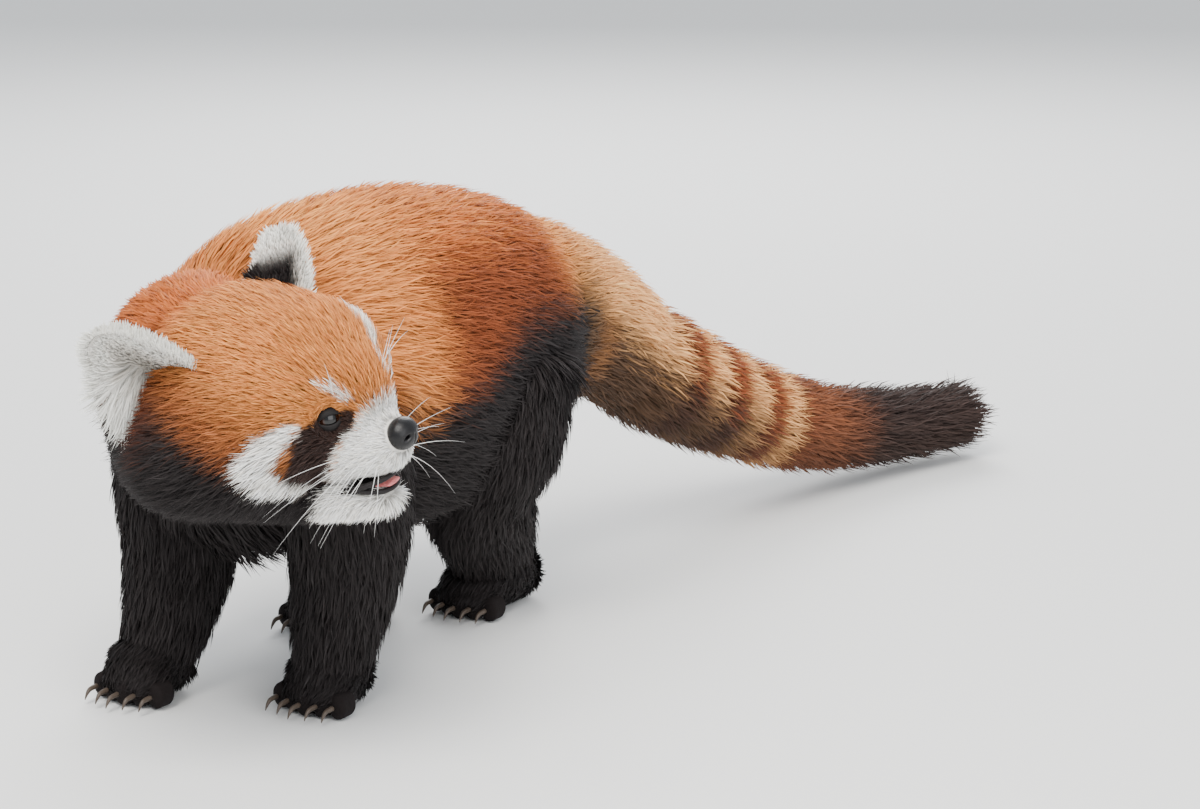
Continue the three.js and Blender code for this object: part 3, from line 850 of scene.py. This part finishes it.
# From the least to the most of each value, as shares of it, and the share of tufts with pale tips
vary = {"length": (0.75, 1.15), "lift": (0.6, 1.5), "width": (0.7, 1.3), "shade": (0.82, 1.14)}
paleShare = 0.14
total = 0
for coatName, coat in coats.items():
    numbers = [partNames.index(n) for n in coat["parts"]]
    chosen = np.flatnonzero(np.isin(triOwner, numbers))
    area = areas[chosen]
    n = int(area.sum() * 1e4 * coat["dense"] * densityScale)
    picked = chosen[rng.choice(len(chosen), n, p=area / area.sum())]
    a, b = rng.random((2, n))
    flip = a + b > 1
    a[flip], b[flip] = 1 - a[flip], 1 - b[flip]
    weights = np.stack([1 - a - b, a, b], 1)[:, :, None]
    tri = triangles[picked]
    roots = (skinPoints[tri] * weights).sum(1)
    normals = unit((skinNormals[tri] * weights).sum(1))
    field = (skinField[tri] * weights).sum(1)
    p = (roots - toRow) / mm
    owner = triOwner[picked]
    h = toHead(p)
    side = np.abs(h[:, 1])
    mirrored = np.stack([h[:, 0], side, h[:, 2]], 1)
    fromEye = mirrored - (eyePlace + gaze * bare["eyeAhead"])
    eyeAcross = unit(np.cross((0, 0, 1.0), gaze))
    away = np.stack([fromEye @ gaze, fromEye @ eyeAcross, fromEye[:, 2]], 1) / bare["eye"]
    keep = (away**2).sum(1) > 1
    keep &= np.linalg.norm((h - noseSettings["middle"]) / bare["nose"], axis=1) > 1
    atLips = (np.abs(h[:, 2] - bare["lipsAt"]) < bare["lips"]) & (h[:, 0] > bare["lipsFrom"])
    keep &= ~(atLips & (side < bare["lipsWide"]))
    keep &= p[:, 2] > bare["floor"]
    roots, normals, field, p, owner, tri = (v[keep] for v in (roots, normals, field, p, owner, tri))
    n = len(roots)
    wobble = rng.normal(0, 0.5, n)
    length = field[:, 3] * mm * rng.uniform(*vary["length"], n)
    lift = np.clip(field[:, 4] * rng.uniform(*vary["lift"], n), 0.05, 1.2)
    h, mirrored = h[keep], mirrored[keep]
    onHead = np.isin(owner, [partNames.index(k) for k in ("skull", "muzzle", "jaw")])
    # Long ruff on the cheeks, short hair round the eyes and on the bridge of the nose.
    ruff = smooth(mirrored[:, 1], 46, 66) * smooth(30 - h[:, 2], 0, 30) * onHead
    nearEye = (1 - smooth(np.linalg.norm(mirrored - eyePlace, axis=1), 8, 26)) * onHead
    # The crown and nape carry longer fur that runs into the neck's.
    nape = 0.8 * smooth(-h[:, 0], -18, 26) * smooth(h[:, 2] + 40, 0, 30) * onHead
    length = length * (1 + lengths["ruff"] * ruff) * (1 + lengths["nape"] * nape)
    length = length * (1 - lengths["nearEye"] * nearEye)
    lift = lift * (1 + 0.3 * ruff) + 0.16 * nape
    # Long hair hangs under the chest and belly.
    below = smooth(-normals[:, 2], 0.2, 0.8) * np.isin(owner, [partNames.index(k) for k in ("torso", "neck")])
    length = length * (1 + lengths["below"] * below)
    lift = lift + 0.2 * below
    # A tuft takes its tone from where its middle lies, so that markings keep their place.
    lies = unit(field[:, :3] - normals * (field[:, :3] * normals).sum(1, keepdims=True))
    tone = markings(p + lies * (0.5 * length / mm)[:, None], owner, wobble)
    # Nothing may reach under the floor.
    drop = np.maximum(p[:, 2] * mm - 0.002, 0.001)
    length = np.minimum(length, 0.006 + drop * 2.2)
    width = coat["width"] * mm * rng.uniform(*vary["width"], n) * (1 - 0.4 * nearEye)
    shade = rng.uniform(*vary["shade"], (n, 1))
    pale = rng.random((n, 1)) < paleShare
    rootTone = tone * np.where(onHead, 0.42, 0.6)[:, None] * shade
    tipTone = np.clip(tone * shade * 1.12 + 0.004, 0, 1)
    tipTone = np.where(pale, np.clip(tipTone * 1.3 + 0.008, 0, 1), tipTone)
    place = chart(owner, skinPlace[tri[:, 0]])
    order = np.argsort(p[:, 1], kind="stable")
    for start in range(0, n, mostTufts):
        some = order[start:start + mostTufts]
        name = coatName + "Fur" + str(start // mostTufts + 1)
        rows = (roots, normals, field[:, :3], length, width, lift, rootTone, tipTone, place)
        piece = coatPiece(name, *(row[some] for row in rows))
        total += len(piece.data.polygons)
    print("coat", coatName, n, "tufts")

# The ears' coat: short on the back, long and white at the rim and the front's root
for number, (sideName, ear) in enumerate(ears.items()):
    first, second, third, fourth = ear["points"][ear["quads"]].transpose(1, 0, 2)
    area = 0.5 * np.linalg.norm(np.cross(third - first, fourth - second), axis=1)
    n = int(earSettings["tufts"] * densityScale)
    picked = ear["quads"][rng.choice(len(area), n, p=area / area.sum())]
    weights = rng.dirichlet(np.ones(4), n)[:, :, None]
    roots, normals, lie, edge, tone = (
        (ear[k][picked] * weights).sum(1) for k in ("points", "normal", "lie", "edge", "tone"))
    rim = ear["rim"][picked[:, 0]]
    share = ear["share"][picked[:, 0]]
    lie = unit(lie + edge * (0.9 * smooth(rim, 0.5, 1))[:, None])
    # Long white hair hangs from the root of the ear's rear edge.
    fringe = smooth(-(edge @ headAxes[0]), 0.1, 0.8) * smooth(0.55 - share, 0, 0.3)
    hang = unit(np.array([-0.35, 0, -1]) @ headAxes)
    lie = unit(mix(lie, np.broadcast_to(hang, lie.shape), 0.85 * fringe))
    length = (4.5 + 3 * smooth(rim, 0.6, 1) + 20 * fringe) * mm * rng.uniform(0.7, 1.2, n)
    place = chart(np.full(n, len(partNames) + number), np.stack([share, rng.random(n)], 1))
    width = np.full(n, earSettings["tuftWidth"] * mm)
    lift = rng.uniform(0.15, 0.5, n)
    piece = coatPiece("earFur_" + sideName, inRow(roots), unit(normals), lie, length, width, lift,
                      tone * 0.6, np.clip(tone * 1.1, 0, 1), place)
    total += len(piece.data.polygons)
print("coat", total, "triangles")

# Whiskers: tapered, bowed, in rows on the muzzle, over the eyes and under the cheeks
whiskerSettings = {
    "radius": 0.21, "taper": 0.85, "rows": 9, "sides": 5, "long": (30, 62), "droop": (5, 16),
    "browLong": (20, 34), "browDroop": 5,
}
whiskerLines = []
for sign in (1, -1):
    for row in range(4):
        for column in range(4):
            root = np.array([60 - 6 * column, sign * (15 + 3.8 * column), -22 - 3.8 * row + 0.8 * column])
            way = unit(np.array([0.3 - 0.38 * column, sign * 1.0, 0.2 - 0.22 * row]) + rng.normal(0, 0.12, 3))
            length, droop = rng.uniform(*whiskerSettings["long"]), rng.uniform(*whiskerSettings["droop"])
            whiskerLines.append((root, way, length, droop))
    for brow in range(4):
        root = np.array([50 + brow, sign * (24 + 2 * brow), 14 + 2 * brow])
        way = unit(np.array([0.5, sign * 0.55, 0.9]) + rng.normal(0, 0.16, 3))
        length = rng.uniform(*whiskerSettings["browLong"])
        whiskerLines.append((root, way, length, whiskerSettings["browDroop"]))
rows, sides = whiskerSettings["rows"], whiskerSettings["sides"]
s = np.linspace(0, 1, rows)[:, None]
radius = whiskerSettings["radius"] * (1 - whiskerSettings["taper"] * s)
angle = circle(sides)[None, :, None]
whiskerBodies = []
for root, way, length, droop in whiskerLines:
    # A straight line plus a droop that grows as the share squared, with a ring round each point.
    line = root + way * length * (s - 0.04) + np.array([-0.5, 0, -1]) * droop * s**2
    one = unit(np.cross(way, (0, 0, 1.0)))
    two = np.cross(one, way)
    p = (line[:, None] + radius[:, None] * (np.cos(angle) * one + np.sin(angle) * two)).reshape(-1, 3)
    whiskerBodies.append(closed(p, np.roll(ringQuads(rows, sides), -1, axis=1), sides))
corners, tris = asOne(whiskerBodies)
finishPiece(meshFrom("whiskers", inRow(fromHead(corners)), tris), whiskerWhite)
print("whiskers ready")

# Floor, lights and camera, in metres and watts
studio = {
    "floorSize": 40, "floor": (0.8, 0.8, 0.79, 1), "sky": (0.86, 0.9, 0.95, 1), "skyStrength": 1.05,
    "key": {"place": (0.4, -1.2, 1.9), "size": 1.2, "power": 72, "colour": (1, 0.97, 0.92)},
    "fill": {"place": (1.8, -0.9, 0.9), "size": 1.6, "power": 26, "colour": (1, 1, 1)},
    "back": {"place": (-0.9, 1.5, 1.3), "size": 1.2, "power": 42, "colour": (1, 1, 1)},
    "lightsTarget": (0, 0, 0.15),
}
bpy.ops.mesh.primitive_plane_add(size=studio["floorSize"])
floor = bpy.context.object
floor.name = "floor"
floorMade = bpy.data.materials.new("floor")
floorMade.use_nodes = True
floorShader = floorMade.node_tree.nodes["Principled BSDF"]
floorShader.inputs["Base Color"].default_value = studio["floor"]
floorShader.inputs["Roughness"].default_value = 0.9
floor.data.materials.append(floorMade)
world = bpy.data.worlds.new("studio")
world.use_nodes = True
sky = world.node_tree.nodes["Background"]
sky.inputs["Color"].default_value = studio["sky"]
sky.inputs["Strength"].default_value = studio["skyStrength"]
bpy.context.scene.world = world


def areaLight(name, place, size, power, colour):
    # A square lamp at its place, turned so that its -Z points along the way to the target.
    data = bpy.data.lights.new(name, "AREA")
    data.size = size
    data.energy = power
    data.color = colour
    lamp = bpy.data.objects.new(name, data)
    lamp.location = place
    lamp.rotation_euler = (Vector(studio["lightsTarget"]) - Vector(place)).to_track_quat("-Z", "Y").to_euler()
    bpy.context.scene.collection.objects.link(lamp)


for name in ("key", "fill", "back"):
    areaLight(name, **studio[name])

# The camera, in pixels of the photo, degrees and millimetres: the animal's origin shows at "at".
cameraSettings = {
    "focal": 3600, "azimuth": 33, "elevation": 14, "distance": 2200, "at": (367.5, 649), "photo": (1200, 809),
    "sensor": 36,
}
a, e = math.radians(cameraSettings["azimuth"]), math.radians(cameraSettings["elevation"])
right = np.array([math.cos(a), math.sin(a), 0])
backward = np.array([math.sin(a) * math.cos(e), -math.cos(a) * math.cos(e), math.sin(e)])
above = np.cross(backward, right)
wide, tall = cameraSettings["photo"]
focal, distance = cameraSettings["focal"], cameraSettings["distance"]
shiftX = (cameraSettings["at"][0] - wide / 2) / focal * distance
shiftY = -(cameraSettings["at"][1] - tall / 2) / focal * distance
cameraAt = inRow(-(shiftX * right + shiftY * above) + distance * backward)
data = bpy.data.cameras.new("camera")
data.sensor_width = cameraSettings["sensor"]
data.lens = focal / wide * cameraSettings["sensor"]
camera = bpy.data.objects.new("camera", data)
matrix = np.eye(4)
matrix[:3, 0], matrix[:3, 1], matrix[:3, 2], matrix[:3, 3] = right, above, backward, cameraAt
camera.matrix_world = Matrix(matrix.tolist())
bpy.context.scene.collection.objects.link(camera)
bpy.context.scene.camera = camera
print("studio ready")
